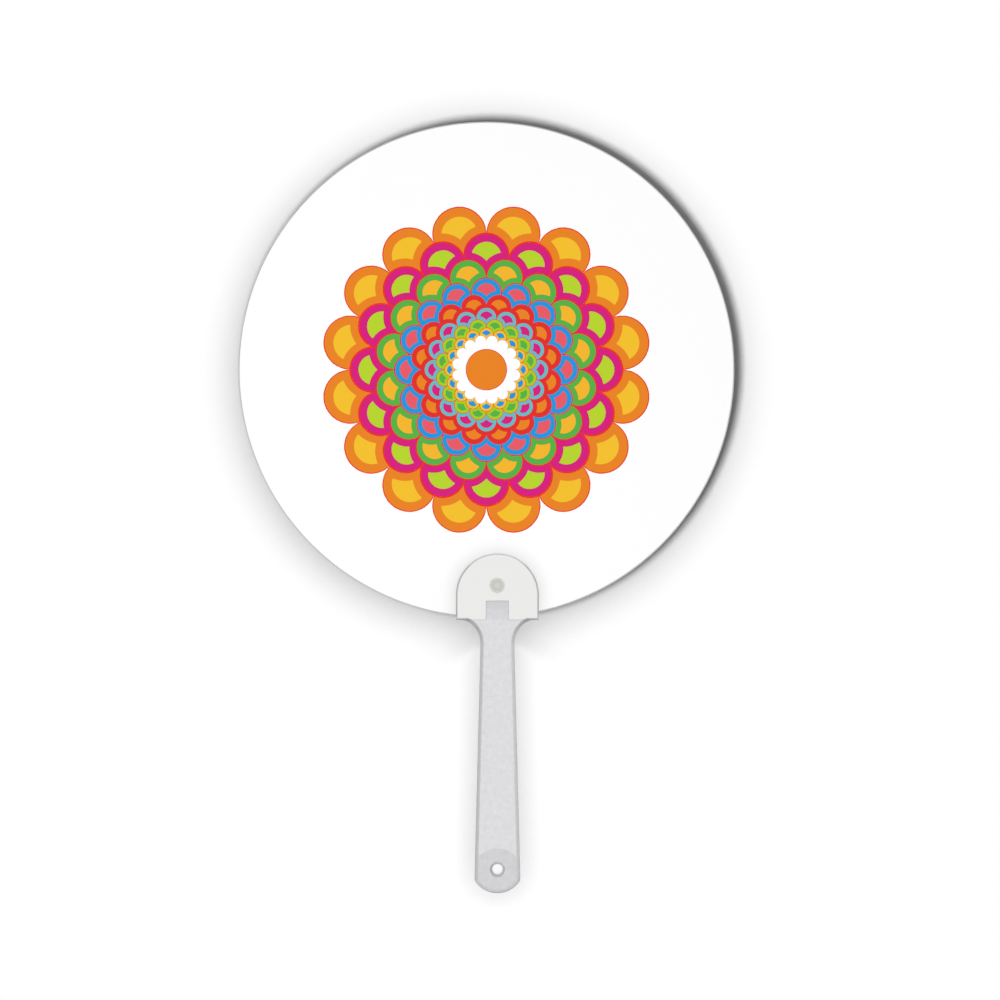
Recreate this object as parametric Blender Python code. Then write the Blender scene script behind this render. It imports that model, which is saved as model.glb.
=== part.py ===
"""Round hand fan: a die-cut plastic sheet held in a moulded clip handle.

Four pieces make the fan. The handle is one moulding: a flared stem with a hang tab, rounded
shoulders, a thin jaw behind the blade and a key that stands in a notch of the blade. The clip
plate lies over the blade from the front, and a split pin holds plate, blade and jaw together.

Metres. The front faces -Y and up is +Z. The origin is the middle of the grip: on the handle's
centre line, halfway through the thickness of the stem.
"""

import math

import bmesh
import bpy
from mathutils import Matrix

# Fits
SEAT_GAP = 0.0003  # between two pieces that rest on each other
PIN_CLEARANCE = 0.0003  # round the pin, in every hole that it stands in
KEY_CLEARANCE = 0.0003  # round the key, in both notches
CUT_OVERRUN = 0.0020  # how far a cutter runs past the face that it cuts
WELD_DISTANCE = 0.0000005  # points of a turned piece this close are one point
FACE_TOLERANCE = 0.00003  # points this close to a flat face lie on it

# Stem of the handle
STEM_LENGTH = 0.0989  # tip to the ledge that the clip plate stands on
STEM_THICKNESS = 0.0036
STEM_END_WIDTH = 0.0167  # where the sides meet the round tip
NECK_WIDTH = 0.0123  # where the sides meet the shoulders
SHOULDER_REACH = 0.0073  # each shoulder is a quarter of an oval: its half width
SHOULDER_DROP = 0.0087  # and its half height, under the foot of the jaw
TIP_CROWN = 0.0047  # how far the round tip bows out past the ends of the sides
EDGE_ROUND = 0.0011
GRIP_ABOVE_TIP = 0.0450  # the origin's height over the tip

# Hang tab at the tip
HANG_HOLE_DIAMETER = 0.0038
HANG_HOLE_ABOVE_TIP = 0.0087
HANG_CHAMFER = 0.0009
TAB_STEP_RADIUS = 0.0089
TAB_STEP_ABOVE_TIP = 0.0074
TAB_STEP_DEPTH = 0.0003

# Jaw behind the blade, whose outline the clip plate shares
JAW_WIDTH = 0.0300
JAW_SIDE_HEIGHT = 0.0090  # straight sides, below the round top
JAW_THICKNESS = 0.0014

# Key on the handle
KEY_WIDTH = 0.0076
KEY_HEIGHT = 0.0069  # over the ledge

# Blade
BLADE_DIAMETER = 0.1800
BLADE_THICKNESS = 0.0005
BLADE_SIDE_OFFSET = -0.0040  # the blade's centre from the handle's centre line
BLADE_FOOT_GAP = 0.0011  # between the ledge and the blade's lowest point
BLADE_NOTCH_CORNER = 0.0006

# Clip plate
PLATE_THICKNESS = 0.0015
PLATE_EDGE_ROUND = 0.0005
PIN_RISE_SHARE = 0.52  # the pin's axis over the plate's lower edge, of the plate's height
PIN_SINK = 0.00015  # the pin's head lies this far under the plate's face
SINK_CHAMFER = 0.0004  # round the mouth of the pin's seat

# Pin
PIN_HEAD_DIAMETER = 0.0049
PIN_HEAD_THICKNESS = 0.0006
PIN_HEAD_ROUND = 0.00015
PIN_DISH_DEPTH = 0.00025
PIN_SHANK_DIAMETER = 0.0034
PIN_END_SINK = 0.00015  # the pin's end lies this far inside the back of the jaw
PIN_END_CHAMFER = 0.0004
PIN_SLOT_WIDTH = 0.0006
PIN_SLOT_DEPTH = 0.0020

# The dish in the pin's head: share of its radius, share of its depth
PIN_DISH_SHARES = ((0.0, 0.35), (0.25, 0.55), (0.5, 1.0), (0.75, 0.45), (0.9, 0.0))
EDGE_PROFILE_SHARE = 0.42  # 0.5 is a true quarter round, less is flatter

# Facets
BLADE_FACETS = 192
DOME_FACETS = 36
FILLET_FACETS = 10
TIP_FACETS = 16
HOLE_FACETS = 40
EDGE_FACETS = 3
SMOOTH_ANGLE = math.radians(30)

# Heights, worked out from the sizes above
TIP_Z = -GRIP_ABOVE_TIP
LEDGE_Z = TIP_Z + STEM_LENGTH
JAW_FOOT_Z = LEDGE_Z + SEAT_GAP
DOME_Z = JAW_FOOT_Z + JAW_SIDE_HEIGHT
DOME_TOP_Z = DOME_Z + JAW_WIDTH / 2
KEY_TOP_Z = LEDGE_Z + KEY_HEIGHT
PIN_Z = JAW_FOOT_Z + PIN_RISE_SHARE * (DOME_TOP_Z - JAW_FOOT_Z)
BLADE_Z = LEDGE_Z + BLADE_FOOT_GAP + BLADE_DIAMETER / 2
HANG_HOLE_Z = TIP_Z + HANG_HOLE_ABOVE_TIP

# Depths, from the back of the handle forwards
STEM_BACK_Y = STEM_THICKNESS / 2
STEM_FRONT_Y = -STEM_THICKNESS / 2
JAW_FRONT_Y = STEM_BACK_Y - JAW_THICKNESS
BLADE_BACK_Y = JAW_FRONT_Y - SEAT_GAP
BLADE_FRONT_Y = BLADE_BACK_Y - BLADE_THICKNESS
PLATE_BACK_Y = BLADE_FRONT_Y - SEAT_GAP
PLATE_FRONT_Y = PLATE_BACK_Y - PLATE_THICKNESS
PIN_HEAD_FRONT_Y = PLATE_FRONT_Y + PIN_SINK
PIN_HEAD_BACK_Y = PIN_HEAD_FRONT_Y + PIN_HEAD_THICKNESS
PIN_SEAT_Y = PIN_HEAD_BACK_Y + SEAT_GAP
PIN_END_Y = STEM_BACK_Y - PIN_END_SINK
TAB_FRONT_Y = STEM_FRONT_Y + TAB_STEP_DEPTH

# Rounds and chamfers that a thin wall would limit
ROUND_LIMIT_SHARE = 0.4
HANG_CHAMFER_CUT = min(HANG_CHAMFER, ROUND_LIMIT_SHARE * (STEM_BACK_Y - TAB_FRONT_Y))
EDGE_ROUND_CUT = min(EDGE_ROUND, ROUND_LIMIT_SHARE * STEM_THICKNESS)
PLATE_ROUND_CUT = min(PLATE_EDGE_ROUND, ROUND_LIMIT_SHARE * PLATE_THICKNESS)
SHOULDER_ROOM = (JAW_WIDTH - NECK_WIDTH) / 2 - EDGE_ROUND_CUT
SHOULDER_LIMIT_SHARE = 0.97
SHOULDER_REACH_CUT = min(SHOULDER_REACH, SHOULDER_LIMIT_SHARE * SHOULDER_ROOM)

PIN_BORE_RADIUS = PIN_SHANK_DIAMETER / 2 + PIN_CLEARANCE
NOTCH_HALF_WIDTH = KEY_WIDTH / 2 + KEY_CLEARANCE
NOTCH_TOP_Z = KEY_TOP_Z + KEY_CLEARANCE


def clear_scene():
    for thing in list(bpy.data.objects):
        bpy.data.objects.remove(thing, do_unlink=True)


def plastic(name, colour, roughness, transmission=0.0):
    """A Principled material for one of the fan's plastics."""
    material = bpy.data.materials.new(name)
    material.use_nodes = True
    shader = material.node_tree.nodes["Principled BSDF"]
    shader.inputs["Base Color"].default_value = (*colour, 1.0)
    shader.inputs["Roughness"].default_value = roughness
    shader.inputs["Metallic"].default_value = 0.0
    shader.inputs["Transmission Weight"].default_value = transmission
    return material


def arc(centre_x, centre_z, radius, start, end, facets):
    """Points on an arc in the fan's plane, from one angle to another, both ends included."""
    points = []
    for step in range(facets + 1):
        angle = start + (end - start) * step / facets
        points.append((centre_x + radius * math.cos(angle), centre_z + radius * math.sin(angle)))
    return points


def with_mirror(right_half):
    """Close an outline from its right half, which starts and ends on the centre line."""
    left_half = [(-x, z) for x, z in reversed(right_half[1:-1])]
    return right_half + left_half


def handle_outline():
    """The handle from the front: round tip, flared sides, shoulders and the dome of the jaw."""
    half_end = STEM_END_WIDTH / 2
    tip_radius = (half_end**2 + TIP_CROWN**2) / (2 * TIP_CROWN)
    tip_centre_z = TIP_Z + tip_radius
    corner_angle = math.atan2(TIP_Z + TIP_CROWN - tip_centre_z, half_end)
    right = arc(0, tip_centre_z, tip_radius, -math.pi / 2, corner_angle, TIP_FACETS)

    # The sides lean inwards up to the shoulders, whose hollow starts where it leans as they do
    corner_x, corner_z = right[-1]
    neck_z = JAW_FOOT_Z - SHOULDER_DROP
    lean = (corner_x - NECK_WIDTH / 2) / (neck_z - corner_z)
    start = -math.atan(lean * SHOULDER_DROP / SHOULDER_REACH_CUT)
    start_z = neck_z + SHOULDER_DROP * math.sin(start)
    start_x = corner_x - lean * (start_z - corner_z)
    centre_x = start_x + SHOULDER_REACH_CUT * math.cos(start)
    for step in range(FILLET_FACETS + 1):
        angle = start + (math.pi / 2 - start) * step / FILLET_FACETS
        across = centre_x - SHOULDER_REACH_CUT * math.cos(angle)
        right.append((across, neck_z + SHOULDER_DROP * math.sin(angle)))

    right.append((JAW_WIDTH / 2, JAW_FOOT_Z))
    right += arc(0, DOME_Z, JAW_WIDTH / 2, 0, math.pi / 2, DOME_FACETS // 2)
    return with_mirror(right)


def plate_outline():
    """The clip plate from the front: the jaw's dome with an open notch for the key."""
    right = [
        (0, NOTCH_TOP_Z),
        (NOTCH_HALF_WIDTH, NOTCH_TOP_Z),
        (NOTCH_HALF_WIDTH, JAW_FOOT_Z),
        (JAW_WIDTH / 2, JAW_FOOT_Z),
    ]
    right += arc(0, DOME_Z, JAW_WIDTH / 2, 0, math.pi / 2, DOME_FACETS // 2)
    return with_mirror(right)


def prism(name, outline, front_y, back_y):
    """A flat piece: an outline in the fan's plane, filled and extruded from front to back."""
    mesh = bmesh.new()
    corners = [mesh.verts.new((x, front_y, z)) for x, z in outline]
    face = mesh.faces.new(corners)
    grown = bmesh.ops.extrude_face_region(mesh, geom=[face])
    moved = [item for item in grown["geom"] if isinstance(item, bmesh.types.BMVert)]
    bmesh.ops.translate(mesh, verts=moved, vec=(0, back_y - front_y, 0))
    bmesh.ops.recalc_face_normals(mesh, faces=mesh.faces)
    return new_object(name, mesh)


def lathe(name, profile, height):
    """A turned piece: a profile of (radius, y) points spun round a line along Y at a height."""
    mesh = bmesh.new()
    points = [mesh.verts.new((radius, y, 0)) for radius, y in profile]
    lines = [mesh.edges.new(pair) for pair in zip(points, points[1:])]
    bmesh.ops.spin(
        mesh,
        geom=points + lines,
        cent=(0, 0, 0),
        axis=(0, 1, 0),
        angle=math.tau,
        steps=HOLE_FACETS,
        use_merge=True,
    )
    bmesh.ops.remove_doubles(mesh, verts=mesh.verts, dist=WELD_DISTANCE)
    bmesh.ops.recalc_face_normals(mesh, faces=mesh.faces)
    bmesh.ops.translate(mesh, verts=mesh.verts, vec=(0, 0, height))
    return new_object(name, mesh)


def new_object(name, mesh):
    data = bpy.data.meshes.new(name)
    mesh.to_mesh(data)
    mesh.free()
    piece = bpy.data.objects.new(name, data)
    bpy.context.collection.objects.link(piece)
    return piece


def round_rim(piece, face_y, width):
    """Round the rim of a flat piece where its side wall meets the face at face_y."""
    mesh = bmesh.new()
    mesh.from_mesh(piece.data)
    rim = [
        edge for edge in mesh.edges
        if all(abs(vert.co.y - face_y) < FACE_TOLERANCE for vert in edge.verts)
    ]
    bmesh.ops.bevel(
        mesh,
        geom=rim,
        offset=width,
        offset_type="OFFSET",
        segments=EDGE_FACETS,
        profile=EDGE_PROFILE_SHARE,
        affect="EDGES",
        clamp_overlap=False,
    )
    mesh.to_mesh(piece.data)
    mesh.free()


def cut(piece, cutter):
    """Cut a piece with a cutter, which stays in the file as a hidden wire guide."""
    cutter.hide_render = True
    cutter.display_type = "WIRE"
    boolean = piece.modifiers.new("cut_" + cutter.name, "BOOLEAN")
    boolean.operation = "DIFFERENCE"
    boolean.solver = "EXACT"
    boolean.object = cutter


def settle(piece, material, axis=None):
    """Apply the cuts, smooth the round faces, and hang a moving piece on its joint's axis."""
    graph = bpy.context.evaluated_depsgraph_get()
    cut_mesh = bpy.data.meshes.new_from_object(piece.evaluated_get(graph))
    for modifier in list(piece.modifiers):
        cutter = modifier.object
        piece.modifiers.remove(modifier)
        bpy.data.objects.remove(cutter, do_unlink=True)
    piece.data = cut_mesh
    piece.data.name = piece.name
    piece.data.materials.clear()
    piece.data.materials.append(material)
    piece.data.shade_smooth()
    piece.data.set_sharp_from_angle(angle=SMOOTH_ANGLE)
    if axis is not None:
        piece.data.transform(Matrix.Translation(-axis.location))
        piece.parent = axis


def make_handle(material):
    outline = handle_outline()
    handle = prism("handle", outline, STEM_FRONT_Y, STEM_BACK_Y)
    round_rim(handle, STEM_FRONT_Y, EDGE_ROUND_CUT)
    round_rim(handle, STEM_BACK_Y, EDGE_ROUND_CUT)

    # The room for the blade and the plate, with the key left standing in it
    pocket_half = JAW_WIDTH / 2 + CUT_OVERRUN
    pocket_right = [
        (0, KEY_TOP_Z),
        (KEY_WIDTH / 2, KEY_TOP_Z),
        (KEY_WIDTH / 2, LEDGE_Z),
        (pocket_half, LEDGE_Z),
        (pocket_half, DOME_TOP_Z + CUT_OVERRUN),
        (0, DOME_TOP_Z + CUT_OVERRUN),
    ]
    pocket = prism(
        "blade_pocket", with_mirror(pocket_right), STEM_FRONT_Y - CUT_OVERRUN, JAW_FRONT_Y
    )
    cut(handle, pocket)

    pin_bore = lathe(
        "pin_bore_in_jaw",
        [
            (0, JAW_FRONT_Y - CUT_OVERRUN),
            (PIN_BORE_RADIUS, JAW_FRONT_Y - CUT_OVERRUN),
            (PIN_BORE_RADIUS, STEM_BACK_Y + CUT_OVERRUN),
            (0, STEM_BACK_Y + CUT_OVERRUN),
        ],
        PIN_Z,
    )
    cut(handle, pin_bore)

    tab_step = lathe(
        "tab_step",
        [
            (0, STEM_FRONT_Y - CUT_OVERRUN),
            (TAB_STEP_RADIUS, STEM_FRONT_Y - CUT_OVERRUN),
            (TAB_STEP_RADIUS, TAB_FRONT_Y),
            (0, TAB_FRONT_Y),
        ],
        TIP_Z + TAB_STEP_ABOVE_TIP,
    )
    cut(handle, tab_step)

    hole_radius = HANG_HOLE_DIAMETER / 2
    flare_radius = hole_radius + HANG_CHAMFER_CUT + CUT_OVERRUN
    hang_hole = lathe(
        "hang_hole",
        [
            (0, TAB_FRONT_Y - CUT_OVERRUN),
            (flare_radius, TAB_FRONT_Y - CUT_OVERRUN),
            (hole_radius, TAB_FRONT_Y + HANG_CHAMFER_CUT),
            (hole_radius, STEM_BACK_Y - HANG_CHAMFER_CUT),
            (flare_radius, STEM_BACK_Y + CUT_OVERRUN),
            (0, STEM_BACK_Y + CUT_OVERRUN),
        ],
        HANG_HOLE_Z,
    )
    cut(handle, hang_hole)
    settle(handle, material)


def make_blade(material):
    rim = arc(BLADE_SIDE_OFFSET, BLADE_Z, BLADE_DIAMETER / 2, 0, math.tau, BLADE_FACETS)
    blade = prism("blade", rim[:-1], BLADE_FRONT_Y, BLADE_BACK_Y)

    front_y = BLADE_FRONT_Y - CUT_OVERRUN
    back_y = BLADE_BACK_Y + CUT_OVERRUN
    notch_right = [(0, LEDGE_Z - CUT_OVERRUN), (NOTCH_HALF_WIDTH, LEDGE_Z - CUT_OVERRUN)]
    notch_right += arc(
        NOTCH_HALF_WIDTH - BLADE_NOTCH_CORNER,
        NOTCH_TOP_Z - BLADE_NOTCH_CORNER,
        BLADE_NOTCH_CORNER,
        0,
        math.pi / 2,
        FILLET_FACETS // 2,
    )
    notch_right.append((0, NOTCH_TOP_Z))
    cut(blade, prism("key_notch", with_mirror(notch_right), front_y, back_y))

    pin_hole = [(0, front_y), (PIN_BORE_RADIUS, front_y), (PIN_BORE_RADIUS, back_y), (0, back_y)]
    cut(blade, lathe("pin_hole_in_blade", pin_hole, PIN_Z))
    settle(blade, material)


def make_clip_plate(material, slide):
    plate = prism("clip_plate", plate_outline(), PLATE_FRONT_Y, PLATE_BACK_Y)
    round_rim(plate, PLATE_FRONT_Y, PLATE_ROUND_CUT)

    seat_radius = PIN_HEAD_DIAMETER / 2 + PIN_CLEARANCE
    pin_seat = lathe(
        "pin_seat",
        [
            (0, PLATE_FRONT_Y - CUT_OVERRUN),
            (seat_radius + SINK_CHAMFER + CUT_OVERRUN, PLATE_FRONT_Y - CUT_OVERRUN),
            (seat_radius, PLATE_FRONT_Y + SINK_CHAMFER),
            (seat_radius, PIN_SEAT_Y),
            (PIN_BORE_RADIUS, PIN_SEAT_Y),
            (PIN_BORE_RADIUS, PLATE_BACK_Y + CUT_OVERRUN),
            (0, PLATE_BACK_Y + CUT_OVERRUN),
        ],
        PIN_Z,
    )
    cut(plate, pin_seat)
    settle(plate, material, slide)


def make_snap_pin(material, slide):
    head_radius = PIN_HEAD_DIAMETER / 2
    shank_radius = PIN_SHANK_DIAMETER / 2
    profile = [
        (head_radius * radius_share, PIN_HEAD_FRONT_Y + PIN_DISH_DEPTH * depth_share)
        for radius_share, depth_share in PIN_DISH_SHARES
    ]
    profile += [
        (head_radius - PIN_HEAD_ROUND, PIN_HEAD_FRONT_Y),
        (head_radius, PIN_HEAD_FRONT_Y + PIN_HEAD_ROUND),
        (head_radius, PIN_HEAD_BACK_Y),
        (shank_radius, PIN_HEAD_BACK_Y),
        (shank_radius, PIN_END_Y - PIN_END_CHAMFER),
        (shank_radius - PIN_END_CHAMFER, PIN_END_Y),
        (0, PIN_END_Y),
    ]
    pin = lathe("snap_pin", profile, PIN_Z)

    slot_outline = [
        (-PIN_SLOT_WIDTH / 2, PIN_Z - PIN_SHANK_DIAMETER),
        (PIN_SLOT_WIDTH / 2, PIN_Z - PIN_SHANK_DIAMETER),
        (PIN_SLOT_WIDTH / 2, PIN_Z + PIN_SHANK_DIAMETER),
        (-PIN_SLOT_WIDTH / 2, PIN_Z + PIN_SHANK_DIAMETER),
    ]
    slot = prism("pin_slot", slot_outline, PIN_END_Y - PIN_SLOT_DEPTH, PIN_END_Y + CUT_OVERRUN)
    cut(pin, slot)
    settle(pin, material, slide)


def make_slide_axis():
    """The line that the clip plate and its pin are drawn off along, towards the front."""
    slide = bpy.data.objects.new("clip_slide_axis", None)
    slide.empty_display_type = "SINGLE_ARROW"
    slide.empty_display_size = BLADE_DIAMETER / 2
    slide.location = (0, 0, PIN_Z)
    bpy.context.collection.objects.link(slide)
    return slide


def main():
    clear_scene()
    slide = make_slide_axis()
    make_handle(plastic("frosted_plastic", (0.73, 0.73, 0.75), 0.45, transmission=0.3))
    make_blade(plastic("white_sheet", (0.93, 0.93, 0.93), 0.35))
    make_clip_plate(plastic("white_plastic", (0.82, 0.82, 0.81), 0.3), slide)
    make_snap_pin(plastic("natural_plastic", (0.58, 0.56, 0.5), 0.4), slide)


main()
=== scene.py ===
"""The round hand fan as it looks: fine meshes, plastics, printed ink and a plain pale studio.

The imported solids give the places. Four of the pieces stand for them, with finer rims and curves,
and the print is a thin film of ink on the blade. Metres; the front faces -Y and up is +Z.
"""

import math

import bmesh
import bpy
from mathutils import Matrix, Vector


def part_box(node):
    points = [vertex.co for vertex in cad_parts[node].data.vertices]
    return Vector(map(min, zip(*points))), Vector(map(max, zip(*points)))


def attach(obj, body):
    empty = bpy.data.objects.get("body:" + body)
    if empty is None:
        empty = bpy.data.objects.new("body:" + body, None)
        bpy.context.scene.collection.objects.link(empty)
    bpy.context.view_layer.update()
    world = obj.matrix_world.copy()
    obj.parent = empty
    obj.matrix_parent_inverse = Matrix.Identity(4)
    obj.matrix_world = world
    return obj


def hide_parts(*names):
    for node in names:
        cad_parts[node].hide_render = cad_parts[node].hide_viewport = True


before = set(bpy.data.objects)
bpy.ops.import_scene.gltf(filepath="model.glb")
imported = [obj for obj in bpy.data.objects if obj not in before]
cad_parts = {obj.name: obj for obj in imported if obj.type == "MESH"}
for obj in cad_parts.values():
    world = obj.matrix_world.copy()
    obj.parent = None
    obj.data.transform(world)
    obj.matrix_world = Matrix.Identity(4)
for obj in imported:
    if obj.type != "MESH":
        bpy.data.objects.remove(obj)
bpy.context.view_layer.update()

MM = 0.001

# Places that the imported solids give
handle_low, handle_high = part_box("handle")
blade_low, blade_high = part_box("blade")
plate_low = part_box("clip_plate")[0]
pin_low, pin_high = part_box("snap_pin")

STEM_FRONT_Y, STEM_BACK_Y = handle_low.y, handle_high.y
TIP_Z, DOME_TOP_Z = handle_low.z, handle_high.z
JAW_HALF = handle_high.x
BLADE_FRONT_Y, BLADE_BACK_Y = blade_low.y, blade_high.y
BLADE_RADIUS = (blade_high.x - blade_low.x) / 2
BLADE_X = (blade_high.x + blade_low.x) / 2
BLADE_Z = blade_high.z - BLADE_RADIUS
PLATE_FRONT_Y = plate_low.y
JAW_FOOT_Z = plate_low.z
DOME_Z = DOME_TOP_Z - JAW_HALF
PIN_Z = (pin_low.z + pin_high.z) / 2
PIN_HEAD_RADIUS = pin_high.x
PIN_FRONT_Y, PIN_END_Y = pin_low.y, pin_high.y

# Sizes that the solids are made to, repeated here, and the softer rims of the finer pieces
FIT = 0.3 * MM  # in the solids: between pieces that rest on each other, round the pin and the key
SNUG = 0.02 * MM  # takes its place here, except in the bores and the blade's two openings
OVERRUN = 2 * MM  # how far a cutter runs past the face that it cuts
STEM_END_HALF = 8.35 * MM
NECK_HALF = 6.15 * MM
SHOULDER_REACH = 7.3 * MM
SHOULDER_DROP = 8.7 * MM
TIP_CROWN = 4.7 * MM
EDGE_ROUND = 1.25 * MM  # the handle's rim; the solid has 1.1
HANG_HOLE_RADIUS = 1.9 * MM
HANG_HOLE_Z = TIP_Z + 8.7 * MM
HANG_CHAMFER = 0.9 * MM
HANG_RIM_RADIUS = HANG_HOLE_RADIUS + 1.5 * HANG_CHAMFER  # encloses the hole's faces alone
TAB_STEP_RADIUS = 8.9 * MM
TAB_STEP_Z = TIP_Z + 7.4 * MM
TAB_STEP_DEPTH = 0.3 * MM
KEY_HALF = 3.8 * MM
LEDGE_Z = JAW_FOOT_Z - FIT
KEY_TOP_Z = LEDGE_Z + 6.9 * MM
NOTCH_CORNER = 0.6 * MM
PLATE_EDGE_ROUND = 0.95 * MM  # the solid has 0.5
SINK_CHAMFER = 0.4 * MM
PIN_HEAD_THICKNESS = 0.6 * MM
PIN_SHANK_RADIUS = 1.7 * MM
PIN_DISH_RADIUS = 0.9 * PIN_HEAD_RADIUS
PIN_DISH_DEPTH = 0.25 * MM
PIN_MIDDLE_SHARE = 0.35  # of the dish's depth, which its raised middle keeps
PIN_HEAD_ROUND = 0.15 * MM
PIN_END_CHAMFER = 0.4 * MM
PIN_SLOT_HALF = 0.3 * MM
PIN_SLOT_DEPTH = 2 * MM

JAW_FRONT_Y = BLADE_BACK_Y + SNUG
PLATE_BACK_Y = BLADE_FRONT_Y - SNUG
TAB_FRONT_Y = STEM_FRONT_Y + TAB_STEP_DEPTH
PIN_HEAD_BACK_Y = PIN_FRONT_Y + PIN_HEAD_THICKNESS
PIN_BORE_RADIUS = PIN_SHANK_RADIUS + FIT
PIN_SEAT_RADIUS = PIN_HEAD_RADIUS + SNUG
NOTCH_HALF = KEY_HALF + FIT
NOTCH_TOP_Z = KEY_TOP_Z + FIT

# Fineness of the curves
BLADE_FACETS = 288
DOME_FACETS = 96
TIP_FACETS = 48
FILLET_FACETS = 24
HOLE_FACETS = 72
DISH_FACETS = 18
RIM_FACETS = 7
CORNER_EASE = 0.7 * MM  # the curve between the tip and each side starts this far from their corner
CORNER_FACETS = 6
NOTCH_CORNER_FACETS = 8
HOLD = 0.15 * MM  # the strip inside a rim that keeps the flat face's shading flat
SHARP_ANGLE = math.radians(24)  # between two faces, from which their edge is shaded sharp
SAME_PLACE = 0.02 * MM  # points and faces this close count as in one place
WELD_DISTANCE = SAME_PLACE / 100


# Meshes

def arc(centre_x, centre_z, radius, start, end, facets):
    """Points on an arc in the fan's plane, both ends included."""
    steps = [start + (end - start) * step / facets for step in range(facets + 1)]
    return [(centre_x + radius * math.cos(a), centre_z + radius * math.sin(a)) for a in steps]


def with_mirror(right_half):
    """Close an outline from its right half, which starts and ends on the centre line."""
    return right_half + [(-x, z) for x, z in reversed(right_half[1:-1])]


def inset(outline, distance):
    """Move each side of a closed anticlockwise outline inwards."""
    moved = []
    for before, here, after in zip([outline[-1]] + outline, outline, outline[1:] + outline[:1]):
        into = Vector((before[1] - here[1], here[0] - before[0])).normalized()
        away = Vector((here[1] - after[1], after[0] - here[0])).normalized()
        corner = (into + away) / (1 + into.dot(away))
        moved.append((here[0] + corner.x * distance, here[1] + corner.y * distance))
    return moved


def rim(width, first_angle, last_angle, facets):
    """A moulded rim, as (inset, depth). The angles are those it leaves the face and ends at."""
    first, last = math.radians(first_angle), math.radians(last_angle)
    radius = width / (math.sin(last) - math.sin(first))
    turns = [first + (last - first) * step / facets for step in range(facets + 1)]
    return [
        (width - radius * (math.sin(a) - math.sin(first)), radius * (math.cos(first) - math.cos(a)))
        for a in turns
    ]


def new_piece(name, mesh):
    data = bpy.data.meshes.new(name)
    mesh.to_mesh(data)
    mesh.free()
    piece = bpy.data.objects.new(name, data)
    bpy.context.collection.objects.link(piece)
    return piece


def loft(name, outline, levels, shares=None):
    """A flat piece skinned over insets of one outline; levels are (inset, y), front to back.

    shares says how much of the inset each point takes, where that isn't all of it.
    """
    shares = shares or [1] * len(outline)
    if len(levels) > 2:
        (front_inset, front), (back_inset, back) = levels[0], levels[-1]
        levels = [(front_inset + HOLD, front)] + levels + [(back_inset + HOLD, back)]
    mesh = bmesh.new()
    rings = []
    for distance, y in levels:
        ring = []
        for share, start, end in zip(shares, outline, inset(outline, distance)):
            x, z = Vector(start).lerp(Vector(end), share)
            ring.append(mesh.verts.new((x, y, z)))
        rings.append(ring)
    mesh.faces.new(rings[0])
    mesh.faces.new(reversed(rings[-1]))
    for front, back in zip(rings, rings[1:]):
        for a, b, c, d in zip(front, front[1:] + front[:1], back[1:] + back[:1], back):
            mesh.faces.new((a, b, c, d))
    bmesh.ops.recalc_face_normals(mesh, faces=mesh.faces)
    return new_piece(name, mesh)


def turned(name, profile, height):
    """A turned piece: (radius, y) points spun round a line along Y at a height."""
    mesh = bmesh.new()
    points = [mesh.verts.new((radius, y, 0)) for radius, y in profile]
    lines = [mesh.edges.new(pair) for pair in zip(points, points[1:])]
    bmesh.ops.spin(
        mesh, geom=points + lines, cent=(0, 0, 0), axis=(0, 1, 0),
        angle=math.tau, steps=HOLE_FACETS, use_merge=True,
    )
    bmesh.ops.remove_doubles(mesh, verts=mesh.verts, dist=WELD_DISTANCE)
    bmesh.ops.recalc_face_normals(mesh, faces=mesh.faces)
    bmesh.ops.translate(mesh, verts=mesh.verts, vec=(0, 0, height))
    return new_piece(name, mesh)


def cut(piece, cutter):
    boolean = piece.modifiers.new("cut_" + cutter.name, "BOOLEAN")
    boolean.operation = "DIFFERENCE"
    boolean.solver = "EXACT"
    boolean.object = cutter


def split_across(piece, point, direction):
    """Divide the faces along a plane, so that a tone can start there."""
    mesh = bmesh.new()
    mesh.from_mesh(piece.data)
    everything = mesh.verts[:] + mesh.edges[:] + mesh.faces[:]
    bmesh.ops.bisect_plane(mesh, geom=everything, plane_co=point, plane_no=direction)
    mesh.to_mesh(piece.data)
    mesh.free()


def freeze(piece):
    """Turn a piece and its modifiers into one plain mesh, and remove the cutters."""
    graph = bpy.context.evaluated_depsgraph_get()
    plain = bpy.data.meshes.new_from_object(piece.evaluated_get(graph))
    for modifier in list(piece.modifiers):
        cutter = getattr(modifier, "object", None)
        piece.modifiers.remove(modifier)
        if cutter:
            bpy.data.objects.remove(cutter, do_unlink=True)
    piece.data = plain
    plain.name = piece.name


def smooth(piece):
    piece.data.shade_smooth()
    piece.data.set_sharp_from_angle(angle=SHARP_ANGLE)


def tone(piece, rule):
    """Write what the plastic's colour is multiplied by at each corner of a face: mostly painted
    light and shade.

    The rule is given the corner's place, and the middle and the normal of its face.
    """
    mesh = piece.data
    tones = mesh.attributes.new("tone", "FLOAT", "CORNER").data
    for face in mesh.polygons:
        for corner in face.loop_indices:
            point = mesh.vertices[mesh.loops[corner].vertex_index].co
            tones[corner].value = rule(point, face.center, face.normal)


def between(value, low, high, at_low, at_high):
    """A number from at_low to at_high, as a value runs from low to high, and level beyond them."""
    share = min(max((value - low) / (high - low), 0), 1)
    return at_low + (at_high - at_low) * share


def hand_over(piece, material, body, slot, *nodes):
    """Give a finished piece its material, its body and the solids that it stands for."""
    piece.data.materials.clear()
    piece.data.materials.append(material)
    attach(piece, body)
    if nodes:
        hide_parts(*nodes)


# Shading

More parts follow.
